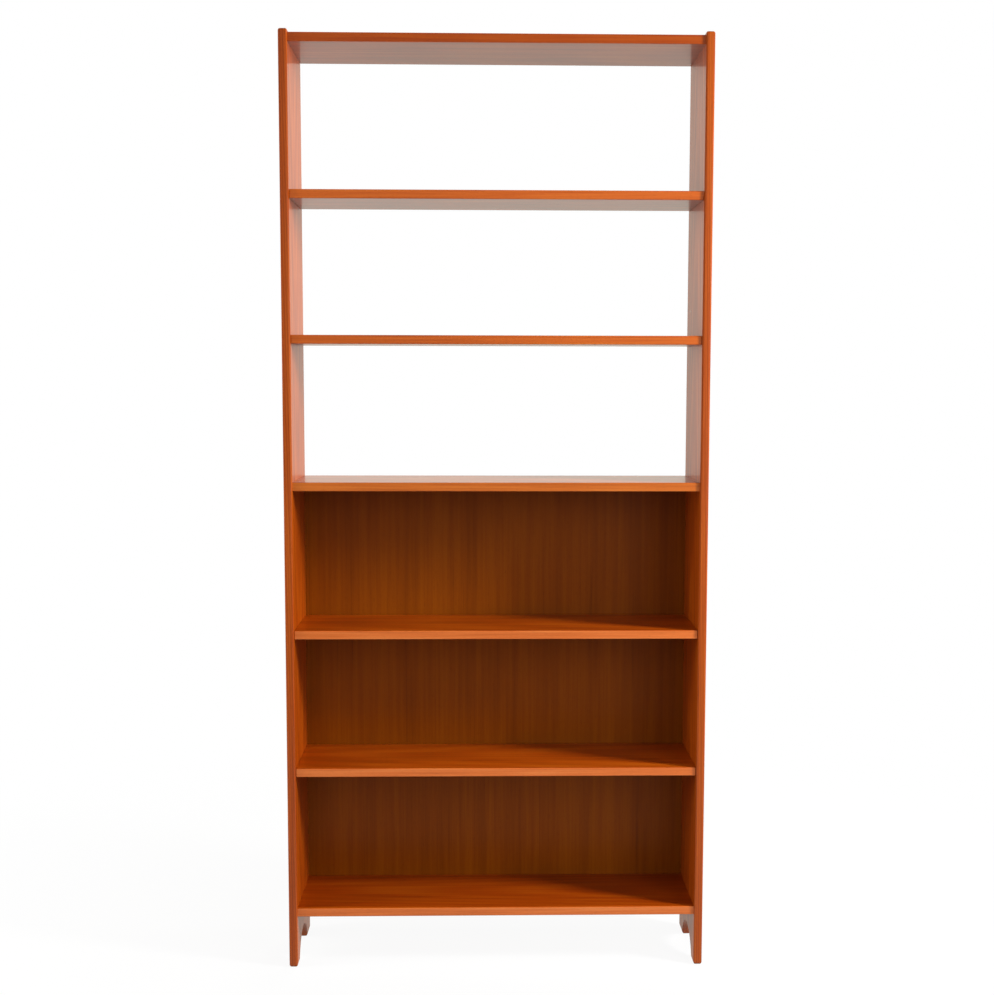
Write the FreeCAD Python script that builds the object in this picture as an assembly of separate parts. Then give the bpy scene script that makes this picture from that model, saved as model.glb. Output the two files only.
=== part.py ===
import FreeCAD, Part
import os

from FreeCAD import Vector

# A tall teak bookcase, in millimetres. The origin is on the floor under the middle
# of the case, X runs along the width, the front faces -Y, and Z is up.

# Case
case_width = 870.0
case_depth = 220.0
case_height = 1925.0
side_thickness = 18.0
board_thickness = 18.0
front_setback = 5.0           # boards stand back from the front edges of the sides
side_rise = 7.0               # the sides stand above the top board
bottom_board_top = 126.0      # floor to the upper face of the bottom board

# Loose shelves, measured downwards from the fixed board above them, face to face
high_shelf_drop = 306.5
low_shelf_drop = 596.5
shelf_end_gap = 0.5
shelf_back_gap = 1.5

# Rounded edges
side_rounding = 4.0           # arrises all round the side's outline
side_corner_rounding = 6.0    # corners of the side's outline, seen from the end
foot_rounding = 7.0           # undersides of the feet, seen from the front
board_rounding = 1.5
shelf_end_rounding = 1.0

# Feet and the arch between them
front_foot_length = 36.0      # front to back, at the floor
rear_foot_length = 48.0
arch_rise = 50.0

# Solid lipping on the front of each board
lipping_depth = 8.0

# Back panel of the lower bays, held in grooves
panel_thickness = 5.0
panel_play = 0.1
groove_depth = 6.0
groove_end_room = 0.5
groove_inset = 6.0            # wood left behind the groove

# Bent wires that carry the loose shelves
wire_diameter = 3.0
wire_back_room = 31.5         # middle of the rear leg to the back of the shelf
wire_standoff = 5.0           # face of the side to the middle of the wire
wire_bend_radius = 3.5
wire_hole_depth = 10.0
wire_leg_room = 0.5
wire_hole_play = 0.05
kerf_play = 0.3
kerf_depth = 8.5
kerf_stop = 30.0              # wood left between the kerf and the front of the shelf

# Dowels between the fixed boards and the sides
dowel_diameter = 8.0
dowel_in_side = 10.0
dowel_in_board = 20.0
dowel_end_room = 1.0
dowel_play = 0.1
dowel_edge_distance = 32.0

# How far a cut runs past the face that it opens
overrun = 1.0

# Places that follow from the sizes
front = -case_depth / 2
rear = case_depth / 2
half_width = case_width / 2
inner_half_width = half_width - side_thickness

top_board_top = case_height - side_rise
middle_board_top = (top_board_top + bottom_board_top) / 2

board_front = front + front_setback
groove_width = panel_thickness + 2 * panel_play
groove_rear = rear - groove_inset
groove_front = groove_rear - groove_width
groove_bottom = bottom_board_top - groove_depth
groove_top = middle_board_top - board_thickness + groove_depth
shelf_rear = groove_front - shelf_back_gap
shelf_half_width = inner_half_width - shelf_end_gap

kerf_front = board_front + kerf_stop
kerf_height = wire_diameter + 2 * kerf_play
wire_front = kerf_front + kerf_play + wire_diameter / 2
wire_rear = shelf_rear - wire_back_room

fixed_boards = {
    "top_board": top_board_top,
    "middle_board": middle_board_top,
    "bottom_board": bottom_board_top,
}
loose_shelves = {
    "upper_high": top_board_top - high_shelf_drop,
    "upper_low": top_board_top - low_shelf_drop,
    "lower_high": middle_board_top - high_shelf_drop,
    "lower_low": middle_board_top - low_shelf_drop,
}


def block(x_range, y_range, z_range):
    """A box between two places along each axis."""
    low = [min(pair) for pair in (x_range, y_range, z_range)]
    size = [abs(pair[1] - pair[0]) for pair in (x_range, y_range, z_range)]
    return Part.makeBox(*size, Vector(*low))


def rod(diameter, x_range, y, z):
    """A round bar along X."""
    low, high = min(x_range), max(x_range)
    return Part.makeCylinder(diameter / 2, high - low, Vector(low, y, z), Vector(1, 0, 0))


def rounded(solid, radius, wanted):
    """The solid with each edge that the test accepts rounded to one radius."""
    return solid.makeFillet(radius, [edge for edge in solid.Edges if wanted(edge)])


def mirrored(solid):
    """The same piece for the other end of the case."""
    return solid.mirror(Vector(0, 0, 0), Vector(1, 0, 0))


def runs_along_x(edge):
    box = edge.BoundBox
    return box.XLength > box.YLength + box.ZLength


def on_rear_face(edge):
    return edge.BoundBox.YMin > rear - overrun


def board_middle(top):
    return top - board_thickness / 2


def dowel_places():
    """Front to back: one dowel near each edge of the board and one halfway."""
    first = board_front + dowel_edge_distance
    last = rear - dowel_edge_distance
    return [first, (first + last) / 2, last]


def dowel_holes(top, end):
    """Blind holes across the joint of one board end; end is -1 at the left."""
    face = end * inner_half_width
    inside_side = face + end * (dowel_in_side + dowel_end_room)
    inside_board = face - end * (dowel_in_board + dowel_end_room)
    diameter = dowel_diameter + 2 * dowel_play
    return [rod(diameter, (inside_side, inside_board), y, board_middle(top)) for y in dowel_places()]


def dowels(top):
    """All dowels of one fixed board, as separate solids."""
    pins = []
    for end in (-1, 1):
        face = end * inner_half_width
        reach = (face + end * dowel_in_side, face - end * dowel_in_board)
        pins += [rod(dowel_diameter, reach, y, board_middle(top)) for y in dowel_places()]
    return Part.makeCompound(pins)


def side_outline():
    """The side seen from the end: straight edges and one arch between two feet."""
    front_foot = Vector(-half_width, front + front_foot_length, 0)
    rear_foot = Vector(-half_width, rear - rear_foot_length, 0)
    crown = (front_foot + rear_foot) * 0.5 + Vector(0, 0, arch_rise)
    corners = [
        front_foot,
        Vector(-half_width, front, 0),
        Vector(-half_width, front, case_height),
        Vector(-half_width, rear, case_height),
        Vector(-half_width, rear, 0),
        rear_foot,
    ]
    edges = [Part.LineSegment(a, b).toShape() for a, b in zip(corners, corners[1:])]
    edges.append(Part.Arc(rear_foot, crown, front_foot).toShape())
    return Part.Wire(edges)


def side_left():
    """Left side: rounded all round but for its rear edge, with its holes and groove."""
    side = Part.Face(side_outline()).extrude(Vector(side_thickness, 0, 0))
    side = rounded(
        side,
        side_corner_rounding,
        lambda edge: runs_along_x(edge) and not on_rear_face(edge),
    )
    side = rounded(
        side,
        side_rounding,
        lambda edge: not runs_along_x(edge) and not on_rear_face(edge),
    )
    side = side.common(foot_roundings())
    holes = [
        block(
            (-inner_half_width - groove_depth, -inner_half_width + overrun),
            (groove_front, groove_rear),
            (groove_bottom, groove_top),
        )
    ]
    for top in fixed_boards.values():
        holes += dowel_holes(top, -1)
    for top in loose_shelves.values():
        holes += wire_holes(top)
    return side.cut(holes)


def foot_roundings():
    """The room a side fills, with its two long edges at the floor rounded."""
    room = block((-half_width, -inner_half_width), (front, rear), (0, case_height))
    return rounded(
        room,
        foot_rounding,
        lambda edge: edge.BoundBox.ZMax < overrun and edge.BoundBox.YLength > case_depth / 2,
    )


def wire_holes(top):
    """The two blind holes in the left side for one wire."""
    reach = (-inner_half_width - wire_hole_depth, -inner_half_width + overrun)
    diameter = wire_diameter + 2 * wire_hole_play
    return [rod(diameter, reach, y, board_middle(top)) for y in (wire_front, wire_rear)]


def wire_left(top):
    """One bent wire at the left: two legs in the side and a run along the shelf's end."""
    height = board_middle(top)
    tip = -inner_half_width - wire_hole_depth + wire_leg_room
    run = -inner_half_width + wire_standoff
    bend = run - wire_bend_radius
    legs = [
        (wire_front, wire_front + wire_bend_radius),
        (wire_rear, wire_rear - wire_bend_radius),
    ]
    path = []
    for leg, bend_end in legs:
        centre = Vector(bend, bend_end, height)
        outward = Vector(1, 0, 0)
        along = Vector(0, leg - bend_end, 0).normalize()
        middle = centre + (outward + along).normalize() * wire_bend_radius
        start = Vector(bend, leg, height)
        finish = Vector(run, bend_end, height)
        path.append(Part.LineSegment(Vector(tip, leg, height), start).toShape())
        path.append(Part.Arc(start, middle, finish).toShape())
    ends = [Vector(run, bend_end, height) for leg, bend_end in legs]
    path.append(Part.LineSegment(*ends).toShape())
    spine = Part.Wire(Part.__sortEdges__(path))
    start = spine.OrderedVertexes[0].Point
    section = Part.Wire(Part.makeCircle(wire_diameter / 2, start, Vector(1, 0, 0)))
    return spine.makePipeShell([section], True, False)


def lipping(top, half_length, ends_rounded):
    """Solid front strip of a board; a loose shelf's strip is rounded at its ends too."""
    strip = block(
        (-half_length, half_length),
        (board_front, board_front + lipping_depth),
        (top - board_thickness, top),
    )

    def on_front(edge):
        return edge.BoundBox.YMax < board_front + overrun

    strip = rounded(strip, board_rounding, lambda edge: on_front(edge) and runs_along_x(edge))
    if ends_rounded:
        strip = rounded(strip, shelf_end_rounding, lambda edge: on_front(edge) and not runs_along_x(edge))
    return strip


def panel_groove(top):
    """The groove that holds one edge of the back panel, cut in the board's face."""
    if top == middle_board_top:
        z_range = (groove_top, top - board_thickness - overrun)
    else:
        z_range = (groove_bottom, top + overrun)
    x_range = (-inner_half_width - overrun, inner_half_width + overrun)
    return block(x_range, (groove_front, groove_rear), z_range)


def fixed_board(name):
    """Veneered board behind its lipping, with dowel holes and any panel groove."""
    top = fixed_boards[name]
    board = block(
        (-inner_half_width, inner_half_width),
        (board_front + lipping_depth, rear),
        (top - board_thickness, top),
    )
    cuts = dowel_holes(top, -1) + dowel_holes(top, 1)
    if name != "top_board":
        cuts.append(panel_groove(top))
    return board.cut(cuts)


def loose_shelf(top):
    """Veneered shelf behind its lipping, with a kerf in each end for its wire."""
    shelf = block(
        (-shelf_half_width, shelf_half_width),
        (board_front + lipping_depth, shelf_rear),
        (top - board_thickness, top),
    )
    middle = board_middle(top)
    kerf = block(
        (-shelf_half_width - overrun, -shelf_half_width + kerf_depth),
        (kerf_front, shelf_rear + overrun),
        (middle - kerf_height / 2, middle + kerf_height / 2),
    )
    return shelf.cut([kerf, mirrored(kerf)])


def back_panel():
    """One sheet behind the lower bays, in grooves on all four edges."""
    half_length = inner_half_width + groove_depth - groove_end_room
    return block(
        (-half_length, half_length),
        (groove_front + panel_play, groove_rear - panel_play),
        (groove_bottom + groove_end_room, groove_top - groove_end_room),
    )


def all_pieces():
    """Every piece of the bookcase, by name."""
    left = side_left()
    pieces = {
        "side_left": left,
        "side_right": mirrored(left),
        "back_panel": back_panel(),
    }
    for name, top in fixed_boards.items():
        pieces[name] = fixed_board(name)
        pieces[name + "_lipping"] = lipping(top, inner_half_width, False)
        pieces[name + "_dowels"] = dowels(top)
    for name, top in loose_shelves.items():
        wire = wire_left(top)
        pieces[name + "_shelf"] = loose_shelf(top)
        pieces[name + "_shelf_lipping"] = lipping(top, shelf_half_width, True)
        pieces[name + "_wire_left"] = wire
        pieces[name + "_wire_right"] = mirrored(wire)
    return pieces


os.makedirs("parts", exist_ok=True)
for name, piece in all_pieces().items():
    piece.exportStep("parts/" + name + ".step")
    print(name, len(piece.Solids), piece.isValid(), round(piece.Volume))
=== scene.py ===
import math

import bpy
from mathutils import Matrix, Vector

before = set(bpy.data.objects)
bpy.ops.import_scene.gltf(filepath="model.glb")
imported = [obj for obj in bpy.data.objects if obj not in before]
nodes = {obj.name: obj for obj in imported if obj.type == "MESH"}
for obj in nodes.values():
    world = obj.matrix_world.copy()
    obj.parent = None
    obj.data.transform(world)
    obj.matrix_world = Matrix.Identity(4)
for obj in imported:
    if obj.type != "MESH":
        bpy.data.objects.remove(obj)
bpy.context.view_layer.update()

# Sides: two full-height boards of solid teak with the grain running up. They are planed
# to thickness, cut to their arched outline, rounded over along the edges and lacquered.
MM = 0.001
HALF = 0.5  # a noise or a saw wave swings about this value


def srgb(code):
    """A hex sRGB colour as linear RGBA."""
    parts = [int(code[i : i + 2], 16) / 255 for i in (0, 2, 4)]
    return [c / 12.92 if c <= 0.04045 else ((c + 0.055) / 1.055) ** 2.4 for c in parts] + [1.0]


def add(tree, kind, settings=None, links=None):
    """A new node with its settings, and its inputs linked or set by name or number."""
    made = tree.nodes.new(kind)
    for name, value in (settings or {}).items():
        setattr(made, name, value)
    for name, value in (links or {}).items():
        if isinstance(value, bpy.types.NodeSocket):
            tree.links.new(value, made.inputs[name])
        else:
            made.inputs[name].default_value = value
    return made


def blank_material(name):
    """A new material that holds only its output node."""
    material = bpy.data.materials.new(name)
    material.use_nodes = True
    tree = material.node_tree
    tree.nodes.clear()
    return material, tree, add(tree, "ShaderNodeOutputMaterial")


def streaks(tree, along, length, width, detail):
    """Noise drawn out along the grain, in cells of a real length and width in metres."""
    place = add(
        tree,
        "ShaderNodeVectorMath",
        {"operation": "MULTIPLY"},
        {0: along, 1: (1 / length, 1 / width, 1 / width)},
    )
    return add(
        tree,
        "ShaderNodeTexNoise",
        None,
        {"Vector": place.outputs[0], "Scale": 1.0, "Detail": detail, "Roughness": 0.6},
    ).outputs["Fac"]


HEART_DEPTH = 70 * MM
HEART_LEAN = (0, 0.02, 0.012)  # radians
ARCH_DRAWING = (0.10, 1, 1)  # the arches are ten times as long as the rings are wide


def growth_rings(tree, along, ring):
    """Rings about a heart that leans against the board, cut into long cathedral arches."""
    leaning = add(
        tree,
        "ShaderNodeMapping",
        None,
        {"Vector": along, "Location": (0, 0, HEART_DEPTH), "Rotation": HEART_LEAN},
    )
    drawn = add(
        tree,
        "ShaderNodeVectorMath",
        {"operation": "MULTIPLY"},
        {0: leaning.outputs[0], 1: ARCH_DRAWING},
    )
    return add(
        tree,
        "ShaderNodeTexWave",
        {"wave_type": "RINGS", "rings_direction": "X", "wave_profile": "SIN"},
        {
            "Vector": drawn.outputs[0],
            "Scale": 2 * math.pi / (20 * ring),  # the wave repeats every 2 pi / 20 units
            "Distortion": 2.2,
            "Detail": 3.0,
            "Detail Scale": 0.35,
            "Detail Roughness": 0.55,
        },
    ).outputs["Fac"]


def facing(tree, normal, direction, low, high):
    """How far a face looks along a direction, either way: 0 under one cosine, 1 over another."""
    cosine = add(
        tree,
        "ShaderNodeVectorMath",
        {"operation": "DOT_PRODUCT"},
        {0: normal, 1: direction},
    ).outputs["Value"]
    size = add(tree, "ShaderNodeMath", {"operation": "ABSOLUTE"}, {0: cosine}).outputs[0]
    return add(
        tree,
        "ShaderNodeMapRange",
        None,
        {"Value": size, "From Min": low, "From Max": high},
    ).outputs[0]


# One streak of each kind: its length, its width and the detail of its noise
STREAKS = {
    "band": (700 * MM, 38 * MM, 2.0),
    "ribbon": (420 * MM, 8 * MM, 2.0),
    "fibre": (120 * MM, 2 * MM, 3.0),
    "mineral": (480 * MM, 5 * MM, 2.0),
    "pore": (12 * MM, 0.6 * MM, 1.0),
}
PORE_BROWN = "2A0E02"
MINERAL_DARKNESS = 0.30
PORE_DARKNESS = 0.30
END_DARKNESS = 0.45
MATT_SWING = 0.04


def lacquered_teak(name, grain, tones, layers, film, ring=None, cover=None):
    """Teak under a satin film: figure, fibre, dark mineral lines, pores and end grain.

    The tones are dark, middle and pale, the layers say how strongly each pattern swings them,
    and a cover holds the tones of a veneer that runs over the piece's upper and lower face.
    """
    material, tree, output = blank_material(name)
    coordinates = add(tree, "ShaderNodeTexCoord").outputs
    turn = {"X": (0, 0, 0), "Z": (0, math.pi / 2, 0)}[grain]
    along = add(
        tree,
        "ShaderNodeVectorRotate",
        {"rotation_type": "EULER_XYZ"},
        {"Vector": coordinates["Object"], "Rotation": turn},
    ).outputs[0]

    # The tone at a spot is the middle tone, moved by the swing of each layer
    patterns = {kind: streaks(tree, along, *cell) for kind, cell in STREAKS.items()}
    if ring:
        patterns["ring"] = growth_rings(tree, along, ring)
    share = HALF
    for layer, strength in layers.items():
        share = add(
            tree,
            "ShaderNodeMath",
            {"operation": "MULTIPLY_ADD"},
            {0: patterns[layer], 1: strength, 2: share},
        ).outputs[0]
    share = add(
        tree,
        "ShaderNodeMath",
        {"operation": "SUBTRACT"},
        {0: share, 1: HALF * sum(layers.values())},
    ).outputs[0]
    shades = []
    for dark, middle, pale in filter(None, (tones, cover)):
        ramp = add(tree, "ShaderNodeValToRGB", None, {"Fac": share})
        stops = ramp.color_ramp.elements
        stops[0].position = 0.25
        stops[0].color = srgb(dark)
        stops[1].position = 0.75
        stops[1].color = srgb(pale)
        stops.new(HALF).color = srgb(middle)
        shades.append(ramp.outputs[0])
    colour = shades[0]
    if cover:
        colour = add(
            tree,
            "ShaderNodeMix",
            {"data_type": "RGBA"},
            {0: facing(tree, coordinates["Normal"], (0, 0, 1), 0.55, 0.65), 6: colour, 7: shades[1]},
        ).outputs[2]

    # Mineral lines run far along the grain; pores are short, and drawn twice their real width
    mineral = add(
        tree,
        "ShaderNodeMapRange",
        None,
        {
            "Value": patterns["mineral"],
            "From Min": 0.66,
            "From Max": 0.76,
            "To Max": MINERAL_DARKNESS,
        },
    ).outputs[0]
    pores = add(
        tree,
        "ShaderNodeMapRange",
        None,
        {"Value": patterns["pore"], "From Min": 0.60, "From Max": 0.75},
    ).outputs[0]
    lengthwise = {"X": (1, 0, 0), "Z": (0, 0, 1)}[grain]
    cut_end = facing(tree, coordinates["Normal"], lengthwise, 0.55, 0.95)
    pore_share, end_share = [
        add(tree, "ShaderNodeMath", {"operation": "MULTIPLY"}, {0: amount, 1: darkness}).outputs[0]
        for amount, darkness in ((pores, PORE_DARKNESS), (cut_end, END_DARKNESS))
    ]
    for amount in (mineral, pore_share, end_share):
        colour = add(
            tree,
            "ShaderNodeMix",
            {"data_type": "RGBA"},
            {0: amount, 6: colour, 7: srgb(PORE_BROWN)},
        ).outputs[2]

    height = add(
        tree,
        "ShaderNodeMath",
        {"operation": "MULTIPLY_ADD"},
        {0: pores, 1: -1.0, 2: patterns["fibre"]},
    ).outputs[0]
    relief = add(
        tree,
        "ShaderNodeBump",
        None,
        {"Height": height, "Strength": 0.15, "Distance": 0.05 * MM},
    ).outputs[0]
    roughness = add(
        tree,
        "ShaderNodeMapRange",
        None,
        {
            "Value": patterns["fibre"],
            "To Min": film["matt"] - MATT_SWING,
            "To Max": film["matt"] + MATT_SWING,
        },
    ).outputs[0]
    surface = add(
        tree,
        "ShaderNodeBsdfPrincipled",
        None,
        {
            "Base Color": colour,
            "Roughness": roughness,
            "IOR": film["index"],
            "Normal": relief,
            "Coat Weight": film["coat"],
            "Coat Roughness": 0.1,
        },
    )
    tree.links.new(surface.outputs[0], output.inputs["Surface"])
    return material


# The grain shows as long arches, and the satin film blurs what it mirrors
side_teak = lacquered_teak(
    "lacquered_teak_side",
    "Z",
    ("903904", "A74506", "B9570C"),
    {"ring": 0.22, "band": 0.5, "ribbon": 0.7, "fibre": 0.35},
    {"matt": 0.5, "index": 1.4, "coat": 0.25},
    ring=5 * MM,
)
for name in ("side_left", "side_right"):
    nodes[name].data.materials[0] = side_teak

# Dowels: turned beech pins, three in each end of a fixed board, glued across the joint.
# Beech is pale and close-grained, and shows short darker flecks instead of streaks.
FLECK = (3 * MM, 0.5 * MM, 2.0)  # length, width and detail of the noise
turned_beech, tree, output = blank_material("turned_beech")
along = add(tree, "ShaderNodeTexCoord").outputs["Object"]
flecks = add(
    tree,
    "ShaderNodeMapRange",
    None,
    {"Value": streaks(tree, along, *FLECK), "From Min": 0.45, "From Max": 0.75},
).outputs[0]
beech_colour = add(
    tree,
    "ShaderNodeMix",
    {"data_type": "RGBA"},
    {0: flecks, 6: srgb("CFA478"), 7: srgb("A87648")},
).outputs[2]
beech = add(
    tree,
    "ShaderNodeBsdfPrincipled",
    None,
    {"Base Color": beech_colour, "Roughness": 0.6, "IOR": 1.5},
)
tree.links.new(beech.outputs[0], output.inputs["Surface"])
fixed_boards = ("top_board", "middle_board", "bottom_board")
for name in fixed_boards:
    nodes[name + "_dowels"].data.materials[0] = turned_beech

# Fixed boards: blockboard behind a lipping of solid teak, both under teak veneer that leaves
# only the lipping's rounded front bare. The veneer's figure is quieter than the sides', and
# its smoother film mirrors more.
VENEER_TONES = ("923803", "B24904", "C6600E")
veneer_teak, veneer_teak_painted_shade = [
    lacquered_teak(
        name,
        "X",
        tones,
        {"ring": 0.15, "band": 0.5, "ribbon": 0.5, "fibre": 0.3},
        {"matt": 0.4, "index": 1.4, "coat": 0.35},
        ring=6 * MM,
    )
    for name, tones in (
        ("lacquered_teak_veneer", VENEER_TONES),
        ("lacquered_teak_veneer_painted_shade", ("822D02", "9E3B02", "AF5008")),
    )
]
# The lippings are cut from planks of several shades with straight grain, so no arches show. Their
# order, darkest on top and palest below, is partly painted shade and painted light
LIPPING_LAYERS = {"band": 0.25, "ribbon": 0.6, "fibre": 0.5}
LIPPING_FILM = {"matt": 0.5, "index": 1.4, "coat": 0.35}
lipping_tones_and_painted_shade = {
    "dark": ("903201", "A54202", "B35006"),
    "russet": ("AE4C12", "C45B18", "D26C22"),
    "middle": ("B05416", "C7651E", "D5782B"),
    "pale": ("C25E24", "DA7030", "E68543"),
}
lippings = {
    shade: lacquered_teak(
        "lacquered_teak_lipping_" + shade,
        "X",
        tones,
        LIPPING_LAYERS,
        LIPPING_FILM,
        cover=VENEER_TONES,
    )
    for shade, tones in lipping_tones_and_painted_shade.items()
}
# The bottom board's darker, deeper veneer is partly its own tone and partly painted shade for the
# lowest bay
board_veneers = (veneer_teak, veneer_teak, veneer_teak_painted_shade)
# The top board takes the darkest lipping and the bottom board the palest: partly their own shades,
# partly painted shade above and painted light below
for name, veneer, shade in zip(fixed_boards, board_veneers, ("dark", "middle", "pale")):
    nodes[name].data.materials[0] = veneer
    nodes[name + "_lipping"].data.materials[0] = lippings[shade]

# Back panel: one sheet of thin plywood behind the lower bays, slid into grooves before the
# case is closed. Its teak veneer is cut on the quarter, so its grain is straight and fine, and
# it has only a thin seal that hardly shines.
nodes["back_panel"].data.materials[0] = lacquered_teak(
    "lacquered_teak_panel",
    "Z",
    ("6C3201", "864102", "9C5302"),
    {"band": 0.35, "ribbon": 0.25, "fibre": 0.2},
    {"matt": 0.35, "index": 1.24, "coat": 0.0},
)

# Shelf wires: bright drawn steel, bent at both ends and pushed into holes in the sides.
# Drawing leaves fine lines along the wire, so its shine is long and a little soft.
DIE_LINE = (40 * MM, 0.3 * MM, 2.0)  # length, width and detail, coarser than real so as to show
drawn_steel, tree, output = blank_material("drawn_steel")
along = add(
    tree,
    "ShaderNodeVectorRotate",
    {"rotation_type": "EULER_XYZ"},
    {
        "Vector": add(tree, "ShaderNodeTexCoord").outputs["Object"],
        "Rotation": (0, 0, math.pi / 2),
    },
).outputs[0]
die_lines = streaks(tree, along, *DIE_LINE)
wire_roughness = add(
    tree,
    "ShaderNodeMapRange",
    None,
    {"Value": die_lines, "To Min": 0.22, "To Max": 0.42},
).outputs[0]
wire_relief = add(
    tree,
    "ShaderNodeBump",
    None,
    {"Height": die_lines, "Strength": 0.2, "Distance": 0.02 * MM},
).outputs[0]
steel = add(
    tree,
    "ShaderNodeBsdfPrincipled",
    None,
    {
        "Base Color": srgb("B9BABC"),
        "Metallic": 1.0,
        "Roughness": wire_roughness,
        "Normal": wire_relief,
    },
)
tree.links.new(steel.outputs[0], output.inputs["Surface"])
loose_shelves = ("upper_high", "upper_low", "lower_high", "lower_low")
for name in loose_shelves:
    for end in ("_wire_left", "_wire_right"):
        nodes[name + end].data.materials[0] = drawn_steel

# Loose shelves: made like the fixed boards and slid onto the wires, which run in a kerf in
# each end. The upper two have russet lippings and the lower two pale ones, paler partly as painted
# light.
for name, shade in zip(loose_shelves, ("russet", "russet", "pale", "pale")):
    nodes[name + "_shelf"].data.materials[0] = veneer_teak
    nodes[name + "_shelf_lipping"].data.materials[0] = lippings[shade]

# Studio floor: white paper that runs out of sight. It is white to the camera. For all else it
# is grey and darker farther from the case, so that it throws little flat light back up.
FLOOR_REACH = 12.0  # metres each way from the case
floor_mesh = bpy.data.meshes.new("studio_floor")
floor_mesh.from_pydata(
    [(x * FLOOR_REACH, y * FLOOR_REACH, 0) for x, y in ((-1, -1), (1, -1), (1, 1), (-1, 1))],
    [],
    [(0, 1, 2, 3)],
)
floor = bpy.data.objects.new("studio_floor", floor_mesh)
bpy.context.scene.collection.objects.link(floor)
floor_paper, tree, output = blank_material("white_floor_paper")
floor_mesh.materials.append(floor_paper)
spot = add(tree, "ShaderNodeTexCoord").outputs["Object"]
from_case = add(tree, "ShaderNodeVectorMath", {"operation": "LENGTH"}, {0: spot}).outputs["Value"]
behind = add(tree, "ShaderNodeSeparateXYZ", None, {0: spot}).outputs["Y"]
# Each shade changes from one value to another between two places, in metres
grey, near_white, mirror_white = [
    add(
        tree,
        "ShaderNodeMapRange",
        {"interpolation_type": "SMOOTHSTEP"},
        {"Value": place, "From Min": start, "From Max": end, "To Min": first, "To Max": last},
    ).outputs[0]
    for place, start, end, first, last in (
        # The grey falls off away from the case
        (from_case, 0.6, 2.4, 0.24, 0.06),
        # Near the case the paper keeps some of its shading, so that the shadow shows
        (from_case, 0.4, 2.0, 0.92, 1.0),
        # The lacquer mirrors paper that is white behind the case and dark in front of it
        (behind, -3.5, 0.6, 0.05, 0.9),
    )
]
rays = add(tree, "ShaderNodeLightPath").outputs
mirrored = add(
    tree,
    "ShaderNodeMath",
    {"operation": "MULTIPLY"},
    {0: mirror_white, 1: rays["Is Glossy Ray"]},
).outputs[0]
seen = add(
    tree,
    "ShaderNodeMath",
    {"operation": "MAXIMUM"},
    {0: rays["Is Camera Ray"], 1: rays["Is Transmission Ray"]},
).outputs[0]
shown = add(tree, "ShaderNodeMath", {"operation": "MAXIMUM"}, {0: seen, 1: mirrored}).outputs[0]
white_share = add(
    tree,
    "ShaderNodeMath",
    {"operation": "MULTIPLY"},
    {0: shown, 1: near_white},
).outputs[0]
WARM_WHITE = "FFFCEE"
glow_tint = add(
    tree,
    "ShaderNodeMix",
    {"data_type": "RGBA"},
    {0: rays["Is Glossy Ray"], 6: (1, 1, 1, 1), 7: srgb(WARM_WHITE)},
).outputs[2]
glow = add(tree, "ShaderNodeEmission", None, {"Color": glow_tint, "Strength": 1.0})
paper = add(tree, "ShaderNodeBsdfDiffuse", None, {"Color": srgb("F4F4F4")})
grey_paper = add(tree, "ShaderNodeBsdfDiffuse", None, {"Color": grey})
lit_paper = add(
    tree,
    "ShaderNodeMixShader",
    None,
    {0: rays["Is Camera Ray"], 1: grey_paper.outputs[0], 2: paper.outputs[0]},
)
floor_surface = add(
    tree,
    "ShaderNodeMixShader",
    None,
    {0: white_share, 1: lit_paper.outputs[0], 2: glow.outputs[0]},
)
tree.links.new(floor_surface.outputs[0], output.inputs["Surface"])

# Studio room: it lights the case from the sides and is dark overhead. The lacquer mirrors a
# white wall behind the case, brighter above the floor, and a dim room in front. The camera
# sees white all round.
CEILING_LIGHT = 0.02
FRONT_LIGHT = 1.06
BACK_LIGHT = 0.55
FRONT_GLOSS = 0.07
BACK_GLOSS = 1.0
HIGH_WALL_GAIN = 1.15
world = bpy.data.worlds.new("studio_room")
bpy.context.scene.world = world
world.use_nodes = True
tree = world.node_tree
tree.nodes.clear()
output = add(tree, "ShaderNodeOutputWorld")
rays = add(tree, "ShaderNodeLightPath").outputs
toward = add(tree, "ShaderNodeTexCoord").outputs["Generated"]
bearing = add(tree, "ShaderNodeSeparateXYZ", None, {0: toward}).outputs
# Each share of the light changes between two bearings, given as their cosine with an axis
side_light, side_gloss, below_ceiling, wall_gain = [
    add(
        tree,
        "ShaderNodeMapRange",
        {"interpolation_type": blend},
        {"Value": bearing[axis], "From Min": start, "From Max": end, "To Min": first, "To Max": last},
    ).outputs[0]
    for blend, axis, start, end, first, last in (
        ("SMOOTHSTEP", "Y", -0.1, 0.3, FRONT_LIGHT, BACK_LIGHT),
        ("SMOOTHSTEP", "Y", -0.1, 0.3, FRONT_GLOSS, BACK_GLOSS),
        ("SMOOTHSTEP", "Z", 0.1, 0.8, 1.0, CEILING_LIGHT),
        ("LINEAR", "Z", -0.1, 0.05, 1.0, HIGH_WALL_GAIN),
    )
]
room_light, room_gloss = [
    add(tree, "ShaderNodeMath", {"operation": "MULTIPLY"}, {0: share, 1: gain}).outputs[0]
    for share, gain in ((side_light, below_ceiling), (side_gloss, wall_gain))
]
strength = add(
    tree,
    "ShaderNodeMapRange",
    None,
    {"Value": rays["Is Glossy Ray"], "To Min": room_light, "To Max": room_gloss},
).outputs[0]
seen = add(
    tree,
    "ShaderNodeMath",
    {"operation": "MAXIMUM"},
    {0: rays["Is Camera Ray"], 1: rays["Is Transmission Ray"]},
).outputs[0]
strength = add(
    tree,
    "ShaderNodeMapRange",
    None,
    {"Value": seen, "To Min": strength, "To Max": 1.0},
).outputs[0]
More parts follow.
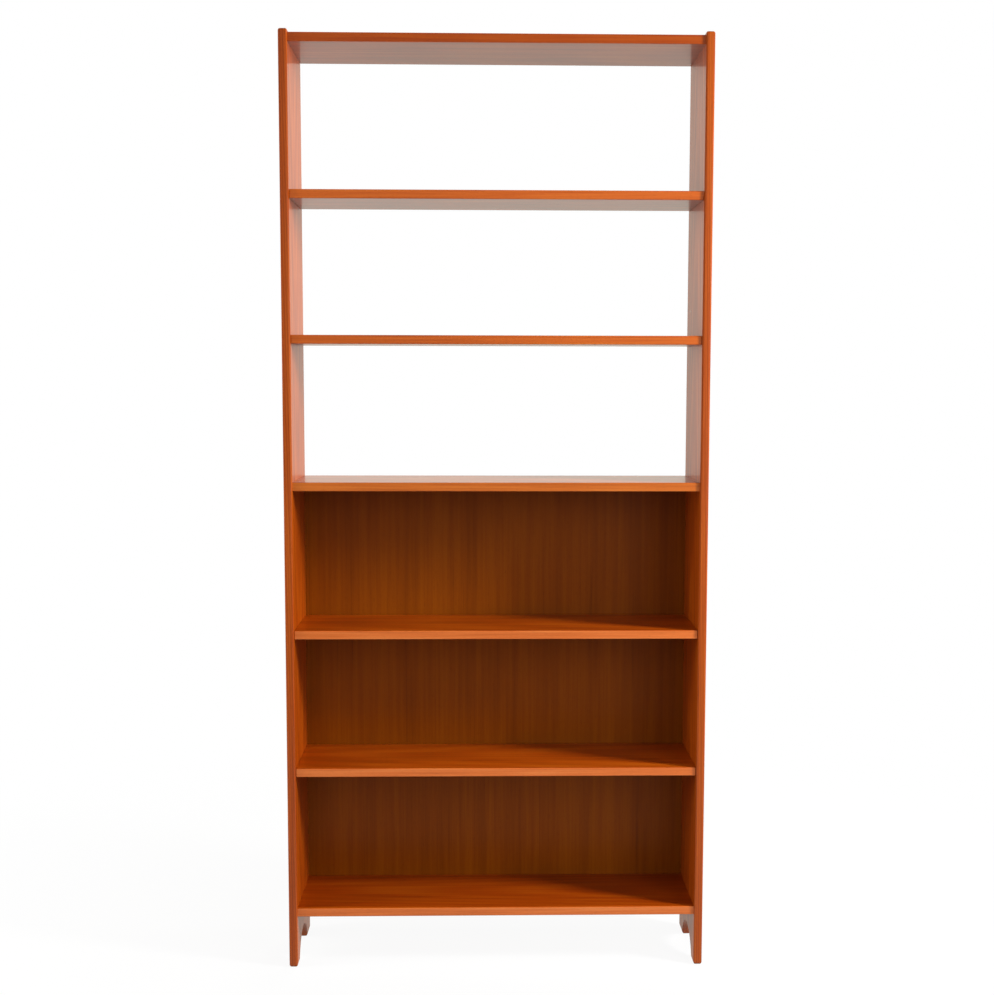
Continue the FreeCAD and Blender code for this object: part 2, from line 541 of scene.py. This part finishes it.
tint = add(
    tree,
    "ShaderNodeMix",
    {"data_type": "RGBA"},
    {0: seen, 6: srgb(WARM_WHITE), 7: (1, 1, 1, 1)},
).outputs[2]
room = add(tree, "ShaderNodeBackground", None, {"Color": tint, "Strength": strength})
tree.links.new(room.outputs[0], output.inputs["Surface"])

# Lamps: a small key softbox far round to the right, which rakes across the fronts and into
# the lower bays, and a tall, weak one nearer the camera that fills them. A strip on the left
# grazes the inside of the right side, and two more light the back and the top.
softboxes = {
    # Its place, the point that it faces, its width and height in metres, and its watts
    "fill_softbox": ((1.65, -2.32, 1.35), (0, 0, 0.8), (0.9, 1.5), 13),
    "key_softbox": ((2.57, -1.09, 1.99), (0, 0, 0.9), (0.45, 0.75), 115),
    "left_strip_softbox": ((-2.4, -0.5, 1.25), (0, 0, 0.9), (0.5, 1.5), 34),
    "rear_softbox": ((0.7, 3.6, 1.35), (0, 0, 0.7), (1.2, 0.4), 75),
    "top_softbox": ((0, 0.12, 3.4), (0, 0, 1.9), (0.3, 0.1), 12),
}
for name, (place, aim, (width, height), watts) in softboxes.items():
    lamp = bpy.data.lights.new(name, "AREA")
    lamp.shape = "RECTANGLE"
    lamp.size = width
    lamp.size_y = height
    lamp.energy = watts
    holder = bpy.data.objects.new(name, lamp)
    holder.location = place
    holder.rotation_mode = "QUATERNION"
    holder.rotation_quaternion = (Vector(aim) - Vector(place)).to_track_quat("-Z", "Y")
    holder.visible_camera = False
    holder.visible_glossy = name == "fill_softbox"  # the lacquer mirrors this one alone
    bpy.context.scene.collection.objects.link(holder)

# Camera: it stands in front, a little left of the middle, and looks slightly down. The lens
# is long, and its frame is shifted a little up and to the left.
FOCAL_LENGTH_PX = 1466.6
LONG_SIDE_PX = 995
SHIFT_LEFT_PX = 16.6
SHIFT_UP_PX = 18.1
SENSOR_WIDTH = 36.0
camera_place = Vector((-0.0341, -3.0990, 1.2426))
camera_pitch = math.radians(5.497)
camera_yaw = math.radians(1.314)
camera_roll = math.radians(0.128)
lens = bpy.data.cameras.new("camera")
lens.sensor_width = SENSOR_WIDTH
lens.lens = FOCAL_LENGTH_PX * SENSOR_WIDTH / LONG_SIDE_PX
lens.shift_x = -SHIFT_LEFT_PX / LONG_SIDE_PX
lens.shift_y = SHIFT_UP_PX / LONG_SIDE_PX
look = Vector(
    (
        math.cos(camera_pitch) * math.sin(camera_yaw),
        math.cos(camera_pitch) * math.cos(camera_yaw),
        -math.sin(camera_pitch),
    )
)
level = Vector((math.cos(camera_yaw), -math.sin(camera_yaw), 0))
upright = level.cross(look)
right = level * math.cos(camera_roll) + upright * math.sin(camera_roll)
above = upright * math.cos(camera_roll) - level * math.sin(camera_roll)
camera = bpy.data.objects.new("camera", lens)
stance = Matrix((right, above, -look)).transposed().to_4x4()
camera.matrix_world = Matrix.Translation(camera_place) @ stance
bpy.context.scene.collection.objects.link(camera)
bpy.context.scene.camera = camera
bpy.context.scene.view_settings.view_transform = "Standard"
